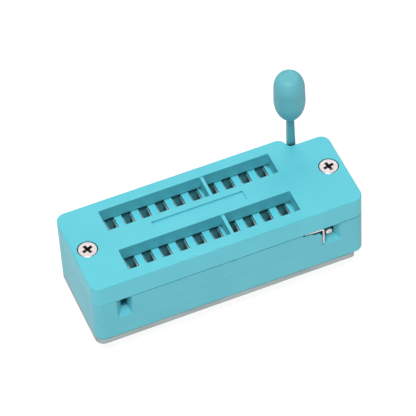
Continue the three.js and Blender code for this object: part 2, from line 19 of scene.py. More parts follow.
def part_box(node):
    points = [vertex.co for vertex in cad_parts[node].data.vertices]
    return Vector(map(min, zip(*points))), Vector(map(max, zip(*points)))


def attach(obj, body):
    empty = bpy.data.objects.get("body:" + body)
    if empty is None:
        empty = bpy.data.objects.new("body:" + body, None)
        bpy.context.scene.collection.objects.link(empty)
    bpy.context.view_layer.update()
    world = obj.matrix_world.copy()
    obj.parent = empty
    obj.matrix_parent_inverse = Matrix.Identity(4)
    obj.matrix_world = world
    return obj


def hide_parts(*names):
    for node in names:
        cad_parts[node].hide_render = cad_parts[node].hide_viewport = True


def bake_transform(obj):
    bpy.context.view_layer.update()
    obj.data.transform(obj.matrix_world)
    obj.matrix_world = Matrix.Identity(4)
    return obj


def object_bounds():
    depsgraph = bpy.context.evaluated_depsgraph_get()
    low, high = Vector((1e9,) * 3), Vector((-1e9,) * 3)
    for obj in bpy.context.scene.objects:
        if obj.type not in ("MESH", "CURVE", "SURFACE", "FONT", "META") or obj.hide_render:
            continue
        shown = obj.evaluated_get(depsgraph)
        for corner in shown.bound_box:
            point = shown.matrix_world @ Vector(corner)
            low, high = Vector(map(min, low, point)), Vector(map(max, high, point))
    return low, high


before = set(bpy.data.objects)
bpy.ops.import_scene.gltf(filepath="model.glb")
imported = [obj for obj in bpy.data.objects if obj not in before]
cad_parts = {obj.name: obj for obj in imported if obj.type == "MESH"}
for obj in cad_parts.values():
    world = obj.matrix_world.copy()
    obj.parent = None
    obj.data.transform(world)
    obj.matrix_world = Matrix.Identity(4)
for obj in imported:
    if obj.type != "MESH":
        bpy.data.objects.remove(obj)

cad_low, cad_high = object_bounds()
MM = 0.001
print("frame box, mm:", [round(v / MM, 2) for v in (*cad_low, *cad_high)])


def levels(node):
    """The lowest and highest corner of a frame node, in millimetres."""
    low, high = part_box(node)
    return low / MM, high / MM


# %% [markdown]
# ## The camera
# A long lens from the front left, about fifty degrees up, as for a small part on a copy stand. The
# camera's place is given outright, and its three axes are built from two angles and a slight roll.

# %% Camera
CAMERA_PLACE = Vector((-0.093401, -0.257620, 0.332876))
CAMERA_AZIMUTH = -0.3472
CAMERA_ELEVATION = 0.8642
CAMERA_ROLL = -0.0636
CAMERA_LENS = 262.1


def axes_of_camera(azimuth, elevation, roll):
    """The camera's matrix of right, up and back axes for two angles and a roll."""
    right = Vector((math.cos(azimuth), math.sin(azimuth), 0))
    back = Vector((
        math.sin(azimuth) * math.cos(elevation),
        -math.cos(azimuth) * math.cos(elevation),
        math.sin(elevation),
    ))
    up = back.cross(right)
    rolled_right = right * math.cos(roll) + up * math.sin(roll)
    rolled_up = up * math.cos(roll) - right * math.sin(roll)
    return Matrix((rolled_right, rolled_up, back)).transposed().to_4x4()


camera = bpy.data.objects.new("camera", bpy.data.cameras.new("camera"))
camera.data.lens = CAMERA_LENS
camera.data.sensor_width = 36
camera.data.clip_start = 0.01
camera.data.clip_end = 5
camera.matrix_world = (
    Matrix.Translation(CAMERA_PLACE)
    @ axes_of_camera(CAMERA_AZIMUTH, CAMERA_ELEVATION, CAMERA_ROLL)
)
bpy.context.scene.collection.objects.link(camera)
bpy.context.scene.camera = camera
bpy.context.scene.view_settings.view_transform = "Standard"
print("camera distance, mm:", round(CAMERA_PLACE.length / MM))

# %% [markdown]
# ## Table and light
# The socket stands on its contact tails, so the table lies at the tips of the tails. A light table
# glows a little, which keeps it pale right up to the part. One wide soft light stands high in front
# and a little to the left, so that it reaches the bed through the windows and lights the walls that
# face the camera. A pale panel behind gives the metal and the satin top something bright to
# mirror, and a dim even sky fills the rest.

# %% Table, sky and two soft lights
TABLE_SIZE = 3.0
TABLE_GAP = 0.00002
table_mesh = bmesh.new()
bmesh.ops.create_grid(table_mesh, x_segments=1, y_segments=1, size=TABLE_SIZE / 2)
bmesh.ops.translate(table_mesh, vec=(0, 0, cad_low.z - TABLE_GAP), verts=table_mesh.verts)
table = bpy.data.objects.new("table", bpy.data.meshes.new("table"))
table_mesh.to_mesh(table.data)
table_mesh.free()
bpy.context.scene.collection.objects.link(table)

TABLE_WHITE = (0.2, 0.2, 0.2, 1)
TABLE_GLOW = 0.88
SKY_STRENGTH = 0.18
KEY_SIZE = 0.22
KEY_DISTANCE = 0.6
KEY_AZIMUTH = math.radians(-35)
KEY_ELEVATION = math.radians(68)
KEY_POWER = 3.3
PANEL_SIZE = 0.5
PANEL_DISTANCE = 0.6
PANEL_AZIMUTH = math.radians(160)
PANEL_ELEVATION = math.radians(48)
PANEL_POWER = 1.0

table_paint = bpy.data.materials.new("light_table")
table_paint.use_nodes = True
table_shader = table_paint.node_tree.nodes["Principled BSDF"]
table_shader.inputs["Base Color"].default_value = TABLE_WHITE
table_shader.inputs["Roughness"].default_value = 0.9
table_shader.inputs["Emission Color"].default_value = (1, 1, 1, 1)
table_shader.inputs["Emission Strength"].default_value = TABLE_GLOW
table.data.materials.append(table_paint)

sky = bpy.data.worlds.new("sky")
sky.use_nodes = True
sky.node_tree.nodes["Background"].inputs["Color"].default_value = (1, 1, 1, 1)
sky.node_tree.nodes["Background"].inputs["Strength"].default_value = SKY_STRENGTH
bpy.context.scene.world = sky


def soft_light(name, size, distance, azimuth, elevation, power):
    """A square area light that looks at the socket from two angles and a distance."""
    light = bpy.data.objects.new(name, bpy.data.lights.new(name, "AREA"))
    light.data.size = size
    light.data.energy = power
    out = Matrix.Translation((0, 0, distance))
    light.matrix_world = axes_of_camera(azimuth, elevation, 0) @ out
    bpy.context.scene.collection.objects.link(light)


soft_light("key_light", KEY_SIZE, KEY_DISTANCE, KEY_AZIMUTH, KEY_ELEVATION, KEY_POWER)
soft_light("back_panel", PANEL_SIZE, PANEL_DISTANCE, PANEL_AZIMUTH, PANEL_ELEVATION, PANEL_POWER)
print("table at", round(cad_low.z / MM, 2), "mm, lights", KEY_POWER, "and", PANEL_POWER, "W")

# %% [markdown]
# ## Plastic
# Every cyan piece is injection-moulded in satin plastic. The finish has three things that a flat
# colour lacks: a slow drift of tone across the piece, a fine spark-eroded grain in the surface, and
# edges that handling has polished a little paler. Its hollows also get painted shade: the colour is
# darkened where little light gets in. The grain and the drift are noise on Object coordinates, so
# they stay put on the piece. The edges are found by comparing the true normal with the softened
# normal of a Bevel node, and the painted shade in the hollows with an Ambient Occlusion node.


# %% Shader helpers
def new_finish(name):
    """A material with its principled shader and its object coordinates."""
    finish = bpy.data.materials.new(name)
    finish.use_nodes = True
    nodes = finish.node_tree.nodes
    place = nodes.new("ShaderNodeTexCoord")
    return finish, nodes, finish.node_tree.links, nodes["Principled BSDF"], place.outputs["Object"]


def noise(nodes, links, place, scale, detail=3, stretch=(1, 1, 1)):
    """The value of a noise whose grains are about 1/scale metres wide, stretched along the axes."""
    mapping = nodes.new("ShaderNodeMapping")
    mapping.inputs["Scale"].default_value = [scale * s for s in stretch]
    texture = nodes.new("ShaderNodeTexNoise")
    texture.inputs["Scale"].default_value = 1
    texture.inputs["Detail"].default_value = detail
    links.new(place, mapping.inputs["Vector"])
    links.new(mapping.outputs["Vector"], texture.inputs["Vector"])
    return texture.outputs["Fac"]


def between(nodes, links, value, low, high, span=(0.3, 0.7)):
    """Maps a value from one span to another, held inside it."""
    mapped = nodes.new("ShaderNodeMapRange")
    mapped.inputs["From Min"].default_value = span[0]
    mapped.inputs["From Max"].default_value = span[1]
    mapped.inputs["To Min"].default_value = low
    mapped.inputs["To Max"].default_value = high
    links.new(value, mapped.inputs["Value"])
    return mapped.outputs["Result"]


def mixed(nodes, links, share, first, second):
    """A colour between two, by a share from 0 to 1. Either colour may be a socket."""
    mix = nodes.new("ShaderNodeMix")
    mix.data_type = "RGBA"
    links.new(share, mix.inputs["Factor"])
    for socket, colour in ((mix.inputs[6], first), (mix.inputs[7], second)):
        if isinstance(colour, bpy.types.NodeSocket):
            links.new(colour, socket)
        else:
            socket.default_value = (*colour, 1)
    return mix.outputs[2]


def worn_edges(nodes, links, radius):
    """A mask that is 1 on the outer edges of a piece and 0 on its flats."""
    softened = nodes.new("ShaderNodeBevel")
    softened.samples = 4
    softened.inputs["Radius"].default_value = radius
    true_normal = nodes.new("ShaderNodeNewGeometry")
    facing = nodes.new("ShaderNodeVectorMath")
    facing.operation = "DOT_PRODUCT"
    links.new(softened.outputs["Normal"], facing.inputs[0])
    links.new(true_normal.outputs["Normal"], facing.inputs[1])
    return between(nodes, links, facing.outputs["Value"], 1, 0, span=(0.8, 0.985))


def grain(nodes, links, shader, heights, distance, strength):
    """Stacks bump nodes over one another, one for each height value."""
    normal = None
    for height, share in heights:
        bump = nodes.new("ShaderNodeBump")
        bump.inputs["Strength"].default_value = strength * share
        bump.inputs["Distance"].default_value = distance
        links.new(height, bump.inputs["Height"])
        if normal:
            links.new(normal, bump.inputs["Normal"])
        normal = bump.outputs["Normal"]
    links.new(normal, shader.inputs["Normal"])


def with_painted_hollow_shade(nodes, links, colour, depth, span, dark):
    """A colour darkened by painted shade in hollows narrower than about twice a given depth."""
    hollow = nodes.new("ShaderNodeAmbientOcclusion")
    hollow.samples = 8
    hollow.inputs["Distance"].default_value = depth
    share = between(nodes, links, hollow.outputs["AO"], 0, 1, span=span)
    return mixed(nodes, links, share, dark, colour)


# %% Moulded plastic
WORN_EDGE = 0.00012
# How wide a hollow gets painted shade, and how dark that painted shade is.
CREVICE_DEPTH = 0.0012
CREVICE_SHADE = 0.05


def moulded_plastic(name, deep, light, worn, roughness=(0.42, 0.52), hollows=(0.12, 0.45)):
    """Satin plastic between two tones, with paler worn edges and painted shade in deep crevices."""
    finish, nodes, links, shader, place = new_finish(name)
    drift = noise(nodes, links, place, 140, detail=2)
    flow = noise(nodes, links, place, 500, detail=2, stretch=(0.25, 1, 1))
    fine = noise(nodes, links, place, 9000, detail=2)
    marks = noise(nodes, links, place, 1500, detail=6, stretch=(0.3, 1.6, 1))
    tone = mixed(nodes, links, between(nodes, links, drift, 0, 1), deep, light)
    streaked = mixed(nodes, links, between(nodes, links, flow, 0, 0.35), tone, light)
    edge = worn_edges(nodes, links, WORN_EDGE)
    edged = mixed(nodes, links, between(nodes, links, edge, 0, 0.55, span=(0, 1)), streaked, worn)
    # Painted shade: deep crevices get a near-black copy of the deep tone, mixed in by ambient
    # occlusion.
    painted_crevice_colour = tuple(c * CREVICE_SHADE for c in deep)
    links.new(
        with_painted_hollow_shade(nodes, links, edged, CREVICE_DEPTH, hollows, painted_crevice_colour),
        shader.inputs["Base Color"],
    )
    links.new(between(nodes, links, marks, *roughness), shader.inputs["Roughness"])
    grain(nodes, links, shader, [(fine, 1), (marks, 0.6)], 0.000004, 0.35)
    shader.inputs["IOR"].default_value = 1.49
    return finish


COVER_FINISH = moulded_plastic(
    "cover_satin_cyan", (0.088, 0.515, 0.61), (0.104, 0.55, 0.64), (0.17, 0.61, 0.69)
)
# Each hollows span sets how strongly painted shade darkens that piece's hollows; the housing's wells
# and pockets and the bed's slots get more of it.
HOUSING_FINISH = moulded_plastic(
    "housing_satin_cyan", (0.088, 0.465, 0.555), (0.103, 0.505, 0.59), (0.16, 0.56, 0.64),
    hollows=(0.18, 0.62),
)
BED_FINISH = moulded_plastic(
    "bed_satin_cyan", (0.095, 0.57, 0.68), (0.115, 0.61, 0.72), (0.22, 0.7, 0.79),
    hollows=(0.25, 0.6),
)
LEVER_FINISH = moulded_plastic(
    "lever_satin_teal", (0.1, 0.4, 0.465), (0.115, 0.44, 0.505), (0.16, 0.5, 0.56), (0.5, 0.62)
)
print("plastics:", [m.name for m in bpy.data.materials if "satin" in m.name])

# %% [markdown]
# ## Sheet and metal
# The thin sheet under the housing is matt grey with a specked, fibrous surface, and its grey is
# painted shade: the sheet stands in for the shaded strip under the body. The contacts are stamped
# from tinned strip, bright with soft drawing lines along their length. The drive plate and the shaft
# are plain bright steel, and the screws are nickel-plated.


# %% Grey sheet of painted shade, and metals
METAL_EDGE = 0.00005
EDGE_BRIGHTER = 1.12
# Painted shade for the metals' hollows, such as the screws' cross: a near-black colour, and the span
# of ambient occlusion over which it is mixed in.
METAL_HOLLOW_SHADE = (0.015, 0.015, 0.018)
METAL_HOLLOW_SHADE_SPAN = (0.25, 0.6)


def specked_shade_sheet(name, dark, pale):
    """A matt grey of painted shade, with fine specks and short fibres."""
    finish, nodes, links, shader, place = new_finish(name)
    specks = noise(nodes, links, place, 5000, detail=4)
    fibres = noise(nodes, links, place, 1400, detail=3, stretch=(0.2, 1, 1))
    tone = mixed(nodes, links, between(nodes, links, fibres, 0, 1), dark, pale)
    edge = worn_edges(nodes, links, WORN_EDGE)
    specked = mixed(nodes, links, between(nodes, links, specks, 0, 0.5), tone, pale)
    links.new(
        mixed(nodes, links, between(nodes, links, edge, 0, 0.4, span=(0, 1)), specked, pale),
        shader.inputs["Base Color"],
    )
    links.new(between(nodes, links, specks, 0.6, 0.8), shader.inputs["Roughness"])
    grain(nodes, links, shader, [(specks, 1), (fibres, 0.5)], 0.00001, 0.5)
    return finish


def bright_metal(name, colour, tarnish, lines, roughness, depth):
    """Bright metal with fine working lines, pale edges, and painted shade that darkens its hollows.
    """
    finish, nodes, links, shader, place = new_finish(name)
    drawn = noise(nodes, links, place, 6000, detail=3, stretch=lines)
    cloud = noise(nodes, links, place, 900, detail=3)
    tone = mixed(nodes, links, between(nodes, links, cloud, 0, 1), colour, tarnish)
    edge = worn_edges(nodes, links, METAL_EDGE)
    bright = tuple(min(1, c * EDGE_BRIGHTER) for c in colour)
    edged = mixed(nodes, links, between(nodes, links, edge, 0, 0.7, span=(0, 1)), tone, bright)
    # Painted shade darkens the metal in its hollows.
    links.new(
        with_painted_hollow_shade(nodes, links, edged, depth, METAL_HOLLOW_SHADE_SPAN, METAL_HOLLOW_SHADE),
        shader.inputs["Base Color"],
    )
    links.new(between(nodes, links, drawn, *roughness), shader.inputs["Roughness"])
    grain(nodes, links, shader, [(drawn, 1), (cloud, 0.4)], 0.000003, 0.3)
    shader.inputs["Metallic"].default_value = 1
    return finish


# Painted shade: the sheet's grey stands in for the shaded strip under the body.
SHADE_SHEET_FINISH = specked_shade_sheet("grey_painted_shade_sheet", (0.27, 0.33, 0.33), (0.4, 0.46, 0.46))
TIN_FINISH = bright_metal(
    "tinned_strip", (0.74, 0.67, 0.66), (0.6, 0.54, 0.54), (1, 1, 0.05), (0.25, 0.4), 0.0006
)
STEEL_FINISH = bright_metal(
    "bright_steel", (0.72, 0.68, 0.67), (0.5, 0.47, 0.47), (0.08, 1, 1), (0.25, 0.42), 0.0006
)
NICKEL_FINISH = bright_metal(
    "nickel_plate", (0.74, 0.66, 0.66), (0.6, 0.53, 0.53), (1, 1, 1), (0.25, 0.4), 0.0007
)
print("metals and board:", [SHADE_SHEET_FINISH.name, TIN_FINISH.name, STEEL_FINISH.name])

# %% [markdown]
# ## How the pieces are made
# A moulding is a block with its corners rounded, from which tools are cut, much as its mould was
# eroded. So the helpers below make blocks and rounded plates, give a tool a flared top so that the
# hole it cuts gets a rounded rim, and then join and cut with boolean modifiers that are applied at
# once. A bevel after the cut would be simpler to write, but it fails where cut edges crowd together.


# %% Blocks and plates
SAME_LEVEL = 1e-4


def middle(span):
    """The value half way along a span."""
    return (span[0] + span[1]) / 2


def about(centre, half):
    """The span that reaches half its width to either side of a centre."""
    return (centre - half, centre + half)


def block(x, y, z):
    """A block between pairs of levels, in millimetres."""
    bm = bmesh.new()
    bmesh.ops.create_cube(bm, size=1)
    bmesh.ops.scale(bm, vec=(x[1] - x[0], y[1] - y[0], z[1] - z[0]), verts=bm.verts)
    bmesh.ops.translate(bm, vec=(middle(x), middle(y), middle(z)), verts=bm.verts)
    return bm


def edges_where(bm, test):
    """The edges whose two ends both pass a test of their place."""
    return [e for e in bm.edges if all(test(v.co) for v in e.verts)]


def rounded(bm, edges, radius, segments=3):
    """Rounds the given edges to a radius."""
    bmesh.ops.bevel(bm, geom=edges, offset=radius, offset_type="OFFSET", segments=segments,
                    profile=0.5, affect="EDGES", material=-1, clamp_overlap=False)


def rounded_plate(corners, z, top=0, bottom=0, segments=8):
    """A plate over [x, y, corner radius] corners, between two levels, with rounded rims."""
    bm = bmesh.new()
    points = [bm.verts.new((x, y, z[0])) for x, y, _ in corners]
    bm.faces.new(points)
    for radius in sorted({r for _, _, r in corners if r}):
        chosen = [p for p, corner in zip(points, corners) if corner[2] == radius]
        bmesh.ops.bevel(bm, geom=chosen, offset=radius, offset_type="OFFSET", segments=segments,
                        profile=0.5, affect="VERTICES", material=-1)
    raised = bmesh.ops.extrude_face_region(bm, geom=bm.faces[:])
    lifted = [g for g in raised["geom"] if isinstance(g, bmesh.types.BMVert)]
    bmesh.ops.translate(bm, vec=(0, 0, z[1] - z[0]), verts=lifted)
    bmesh.ops.recalc_face_normals(bm, faces=bm.faces)
    for level, radius in ((z[1], top), (z[0], bottom)):
        if radius:
            rim = edges_where(bm, lambda co: abs(co.z - level) < SAME_LEVEL)
            rounded(bm, rim, radius)
    return bm


# %% Tools with a flared top
FLARE_STEPS = 3
CLEAR = 1


def flare_rim(bm, rim):
    """Widens a tool's top face outwards in an arc of the rim's radius, then runs it on upwards."""
    top = max(bm.faces, key=lambda face: face.calc_center_median().z)
    for step in range(1, FLARE_STEPS + 1):
        before, after = [(math.pi / 2) * s / FLARE_STEPS for s in (step - 1, step)]
        lift = rim * (math.sin(after) - math.sin(before))
        spread = rim * (math.cos(before) - math.cos(after))
        centre = top.calc_center_bounds()
        size = [max(v.co[i] for v in top.verts) - min(v.co[i] for v in top.verts) for i in (0, 1)]
        top = bmesh.ops.extrude_discrete_faces(bm, faces=[top])["faces"][0]
        factor = [(s + 2 * spread) / s for s in size]
        bmesh.ops.scale(bm, vec=(*factor, 1), verts=top.verts,
                        space=Matrix.Translation(-centre))
        bmesh.ops.translate(bm, vec=(0, 0, lift), verts=top.verts)
    top = bmesh.ops.extrude_discrete_faces(bm, faces=[top])["faces"][0]
    bmesh.ops.translate(bm, vec=(0, 0, CLEAR), verts=top.verts)
    return bm


def pocket_tool(x, y, z, rim, corner=0):
    """A block tool for a hole whose rim is rounded where it opens upwards at the top level."""
    bm = block(x, y, (z[0], z[1] - rim))
    if corner:
        upright = [e for e in bm.edges if abs(e.verts[0].co.z - e.verts[1].co.z) > SAME_LEVEL]
        rounded(bm, upright, corner, segments=4)
    return flare_rim(bm, rim)


def round_tool(x, y, radius, z, rim=0, segments=48):
    """A round tool that stands at x, y between two levels."""
    bm = bmesh.new()
    bmesh.ops.create_cone(bm, cap_ends=True, segments=segments, radius1=radius, radius2=radius,
                          depth=z[1] - rim - z[0])
    bmesh.ops.translate(bm, vec=(x, y, (z[0] + z[1] - rim) / 2), verts=bm.verts)
    return flare_rim(bm, rim) if rim else bm


# %% Join, cut and finish
WELD = 2e-4
FLAT_ANGLE = math.radians(0.4)
SHARP_ANGLE = math.radians(35)
SPIN_WELD = 1e-3


def gathered(parts):
    """One bmesh that holds several, which are used up."""
    whole = bmesh.new()
    for part in parts:
        mesh = bpy.data.meshes.new("part")
        part.to_mesh(mesh)
        part.free()
        whole.from_mesh(mesh)
        bpy.data.meshes.remove(mesh)
    return whole


def shape_of(name, bm):
    """An object that holds a bmesh, which is used up."""
    shape = bpy.data.objects.new(name, bpy.data.meshes.new(name))
    bm.to_mesh(shape.data)
    bm.free()
    bpy.context.scene.collection.objects.link(shape)
    return shape


def applied(shape):
    """Makes the result of a shape's modifiers its mesh."""
    bpy.context.view_layer.update()
    result = bpy.data.meshes.new_from_object(
        shape.evaluated_get(bpy.context.evaluated_depsgraph_get())
    )
    shape.modifiers.clear()
    shape.data = result


def combined(shape, tools, operation):
    """Cuts bmesh tools out of a shape (DIFFERENCE) or joins them on (UNION), one after another."""
    helpers = [shape_of("tool", tool) for tool in tools]
    for helper in helpers:
        boolean = shape.modifiers.new("boolean", "BOOLEAN")
        boolean.object = helper
        boolean.operation = operation
        boolean.solver = "EXACT"
    applied(shape)
    for helper in helpers:
        bpy.data.objects.remove(helper)
    return shape


def tidied(shape):
    """Merges what a boolean left doubled or split on flat faces."""
    bm = bmesh.new()
    bm.from_mesh(shape.data)
    bmesh.ops.remove_doubles(bm, verts=bm.verts, dist=WELD)
    bmesh.ops.dissolve_degenerate(bm, edges=bm.edges, dist=WELD)
    bmesh.ops.dissolve_limit(bm, angle_limit=FLAT_ANGLE, verts=bm.verts, edges=bm.edges)
    bm.to_mesh(shape.data)
    bm.free()


def finished(shape, name, finish, slot, body, *replaced):
    """Brings a shape to metres, shades it, and gives it its finish, body and place in the frame."""
    tidied(shape)
    shape.name = name
    shape.data.name = name
    shape.data.transform(Matrix.Scale(MM, 4))
    shape.data.materials.clear()
    shape.data.materials.append(finish)
    shape.data.shade_smooth()
    shape.data.set_sharp_from_angle(angle=SHARP_ANGLE)
    weighted = shape.modifiers.new("flat faces stay flat", "WEIGHTED_NORMAL")
    weighted.keep_sharp = True
    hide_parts(*replaced)
    if body:
        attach(shape, body)
    shape.data.calc_loop_triangles()
    print(name, len(shape.data.loop_triangles), "triangles")


# %% [markdown]
# ## Sizes that the pieces share
# The outside levels come from the frame. The windows, slots and pockets are inside the nodes' boxes,
# so they are given here in millimetres.

# %% Shared sizes
COVER_HIGH = levels("top_cover")[1]
HOUSING_LOW, HOUSING_HIGH = levels("base_housing")
SHADE_SHEET_LOW, SHADE_SHEET_HIGH = levels("bottom_plate")
BED_LOW, BED_HIGH = levels("slider_plate")
DRIVE_LOW, DRIVE_HIGH = levels("drive_plate")

CORNER = 1.4
STEP_X = 14.75
STEP_BACK_X = 14.0
STEP_Y = 5.7
STEP_CORNER = 0.8
SHELF_Z = 5.1
SEAM_TOP = 8.4
SEAM_BOTTOM = 8.3

PITCH = 2.54
ROW_Y = 3.81
GRID_CENTRE_X = -1.51
PER_ROW = 10

WINDOW_X = (-14.39, 11.36)
WINDOW_Y = (1.95, 5.71)
BAR_X = (0.93, 1.4)
BAR_TOP = 11.85
ROOM_TOP = 9.85
SCREW_X = 18.22
SEAT_LEVEL = 11.05
PIVOT_X = 15.25
PIVOT_Z = 6.4

BED_BOTTOM = 9.3
BED_END_X = 11.7
BED_HALF_Y = 6.5
NECK_HALF_Y = 2.6
PEG_X = 12.7
PEG_Y = (-1.4, 1.4)

contact_x = [GRID_CENTRE_X + (i - (PER_ROW - 1) / 2) * PITCH for i in range(PER_ROW)]
contact_places = [(x, -ROW_Y) for x in contact_x] + [(x, ROW_Y) for x in reversed(contact_x)]
print(len(contact_places), "contact places, from x", round(contact_x[0], 2))


def at_every_contact(make):
    """One bmesh that holds a tool at each place of the contact grid."""
    return gathered([make(x, y) for x, y in contact_places])


def full_outline():
    """The whole outline, with its four corners rounded alike."""
    x, y = COVER_HIGH.x, COVER_HIGH.y
    return [(-x, -y, CORNER), (x, -y, CORNER), (x, y, CORNER), (-x, y, CORNER)]


def stepped_outline():
    """The outline with the step at the back right that the lever folds into."""
    x, y = COVER_HIGH.x, COVER_HIGH.y
    return [
        (-x, -y, CORNER), (x, -y, CORNER), (x, STEP_Y, CORNER), (STEP_X, STEP_Y, 0.25),
        (STEP_BACK_X, y, STEP_CORNER), (-x, y, CORNER),
    ]


# %% [markdown]
# ## The cover
# The cover is a thick lid with two long windows, each crossed by a thin bar near its middle, a
# shallow blank recess for a label between them, and a sunk seat for a screw at either end. Under it
# is the room that the bed slides in. Each window is cut as two openings with the bar left standing
# between them, so the bar is one piece with the cover, as it is moulded.

# %% Cover
LABEL_X = (-8.37, 5.4)
LABEL_Y = (-0.8, 0.87)
LABEL_DEPTH = 0.3
WINDOW_RIM = 0.07
WINDOW_CORNER = 0.08
DIP_HALF = 0.6
BED_ROOM_X = (-16.3, 12.5)
BED_ROOM_Y = (-6.75, 6.75)
NECK_ROOM_X = (12, 16.95)
NECK_ROOM_Y = (-2.9, 2.9)
SEAT_RADIUS = 1.46
COVER_HOLE_RADIUS = 0.95
KEEPER_X = (14.88, 15.72)
KEEPER_Y = ((-5.1, -3.1), (3.1, 5.1))
KEEPER_Z = (7.03, 8.9)


def window_tools(y):
    """Two openings and the slight dip of the bar between them, for a window over a span of y."""
    top = COVER_HIGH.z
    z = (ROOM_TOP - 2, top)
    left = pocket_tool((WINDOW_X[0], BAR_X[0]), y, z, WINDOW_RIM, WINDOW_CORNER)
    right = pocket_tool((BAR_X[1], WINDOW_X[1]), y, z, WINDOW_RIM, WINDOW_CORNER)
    dip = block(about(middle(BAR_X), DIP_HALF), y, (BAR_TOP, top + CLEAR))
    return left, right, dip


def cover_shape():
    """The lid, hollowed and cut, with the two ribs that keep the shaft down."""
    top = COVER_HIGH.z
    shape = shape_of(
        "cover", rounded_plate(stepped_outline(), (SEAM_TOP, top), top=0.15, bottom=0.05)
    )
    room = block(BED_ROOM_X, BED_ROOM_Y, (SEAM_TOP - CLEAR, ROOM_TOP))
    neck = block(NECK_ROOM_X, NECK_ROOM_Y, (SEAM_TOP - CLEAR, ROOM_TOP))
    back = window_tools(WINDOW_Y)
    front = window_tools((-WINDOW_Y[1], -WINDOW_Y[0]))
    label = pocket_tool(LABEL_X, LABEL_Y, (top - LABEL_DEPTH, top), 0.03, 0.05)
    seats = gathered([
        round_tool(x, 0, SEAT_RADIUS, (SEAT_LEVEL, top), rim=0.04) for x in (-SCREW_X, SCREW_X)
    ])
    shanks = gathered([
        round_tool(x, 0, COVER_HOLE_RADIUS, (8, SEAT_LEVEL + 0.1)) for x in (-SCREW_X, SCREW_X)
    ])
    openings = gathered([back[0], back[1], front[0], front[1]])
    dips = gathered([back[2], front[2]])
    combined(shape, [room, neck, openings, dips, label, seats, shanks], "DIFFERENCE")
    keepers = [block(KEEPER_X, y, KEEPER_Z) for y in KEEPER_Y]
    return combined(shape, [gathered(keepers)], "UNION")


finished(cover_shape(), "cover_shell", COVER_FINISH, "cover_plastic", "base", "top_cover")

# %% [markdown]
# ## The housing
# The housing carries everything. Its lower half keeps the whole outline and its upper half has the
# lever's step, which leaves a shelf at the back right. The mould parts at the level of that shelf,
# and the two halves' softened rims leave a faint line round the outside there. Twenty wells go
# straight through it, and two flared pockets open in its front face: the right one shows the drive
# plate's bent end and the end of the shaft. A low ledge at the left end closes the seam there.

# %% Housing
MOUTH_DEPTH = 1.02
RIGHT_MOUTH = {"floor_x": (13.85, 16.78), "top_x": (13.85, 16.78), "z": (4.9, 9.3)}
RIGHT_THROAT = {"floor_x": (13.9, 15.95), "top_x": (13.9, 15.95), "z": (5.75, 9.3)}
LEFT_MOUTH = {"floor_x": (-17.12, -14.95), "top_x": (-17.12, -14.8), "z": (4.65, 9.3)}
LEFT_THROAT = {"floor_x": (-16.2, -15.35), "top_x": (-16.2, -14.84), "z": (5.75, 9.3)}
BEARING_FRONT_Y = -5.2
ARM_LEFT_X = 10.95
SHAFT_RUN = 0.63
LEDGE_X = -17.4
TOOL_TOP = 9.3
THROAT_FRONT_Y = -6.46
RAISED_START_X = -14.9
RAISED_HALF_Y = 6.6
ROOM_FLOOR = 8.0
ARM_ROOM_END_X = 14.95
ARM_ROOM_Y = (-6.5, 5.35)
TONGUE_ROOM_END_X = 16.95
TONGUE_ROOM_HALF_Y = 2.55
CAM_ROOM_X = (13.45, 16.9)
CAM_ROOM_HALF_Y = 2.3
CAM_ROOM_FLOOR = 5.2
WELL_HALF_X = 0.95
WELL_HALF_Y = 2.4
WELL_RIM = 0.06
HUB_ROOM_RADIUS = 0.88
GROOVE_END_Y = 7.47
BASE_HOLE_RADIUS = 0.8
BASE_HOLE_FLOOR = 3.7


def section_at(corners, section, y):
    """Moves the four corners of one end of a tool to a section's floor and top, at a level of Y."""
    middle_z = sum(v.co.z for v in corners) / 4
    for v in corners:
        above = v.co.z > middle_z
        v.co.x = section["top_x" if above else "floor_x"][v.co.x > 0]
        v.co.y = y
    for v in corners:
        v.co.z = section["z"][v.co.z > middle_z]


def pocket_run(front, front_y, back, back_y):
    """A four-sided tool from one section to another behind it."""
    bm = block((-1, 1), (-1, 1), (-1, 1))
    near = [v for v in bm.verts if v.co.y < 0]
    far = [v for v in bm.verts if v.co.y > 0]
    section_at(near, front, front_y)
    section_at(far, back, back_y)
    return bm


def flared_pocket(mouth, throat):
    """A pocket tool that narrows from its mouth on the front face to its throat."""
    front = -HOUSING_HIGH.y
    bm = pocket_run(mouth, front, throat, front + MOUTH_DEPTH)
    face = min(bm.faces, key=lambda f: f.calc_center_median().y)
    face = bmesh.ops.extrude_discrete_faces(bm, faces=[face])["faces"][0]
    bmesh.ops.translate(bm, vec=(0, -1, 0), verts=face.verts)
    return bm


def arm_notch():
    """The tool for the sloping notch under the seam that the drive plate's front arm shows in."""
    profile = [(ARM_LEFT_X, TOOL_TOP), (ARM_LEFT_X, 8.05), (12.2, 8.0), (12.7, 7.62), (13.45, 7.62),
               (13.95, 6.9), (ARM_ROOM_END_X, 6.9), (ARM_ROOM_END_X, TOOL_TOP)]
    bm = bmesh.new()
    face = bm.faces.new([bm.verts.new((x, -8.47, z)) for x, z in profile])
    raised = bmesh.ops.extrude_face_region(bm, geom=[face])
    lifted = [g for g in raised["geom"] if isinstance(g, bmesh.types.BMVert)]
    bmesh.ops.translate(bm, vec=(0, 2.07, 0), verts=lifted)
    bmesh.ops.recalc_face_normals(bm, faces=bm.faces)
    return bm


def rod(radius, y, x=PIVOT_X, z=PIVOT_Z, segments=48):
    """A round bar along Y between two levels."""
    bm = bmesh.new()
    bmesh.ops.create_cone(bm, cap_ends=True, segments=segments, radius1=radius, radius2=radius,
                          depth=y[1] - y[0])
    bmesh.ops.rotate(bm, cent=(0, 0, 0), matrix=Matrix.Rotation(math.pi / 2, 3, "X"),
                     verts=bm.verts)
    bmesh.ops.translate(bm, vec=(x, middle(y), z), verts=bm.verts)
    return bm


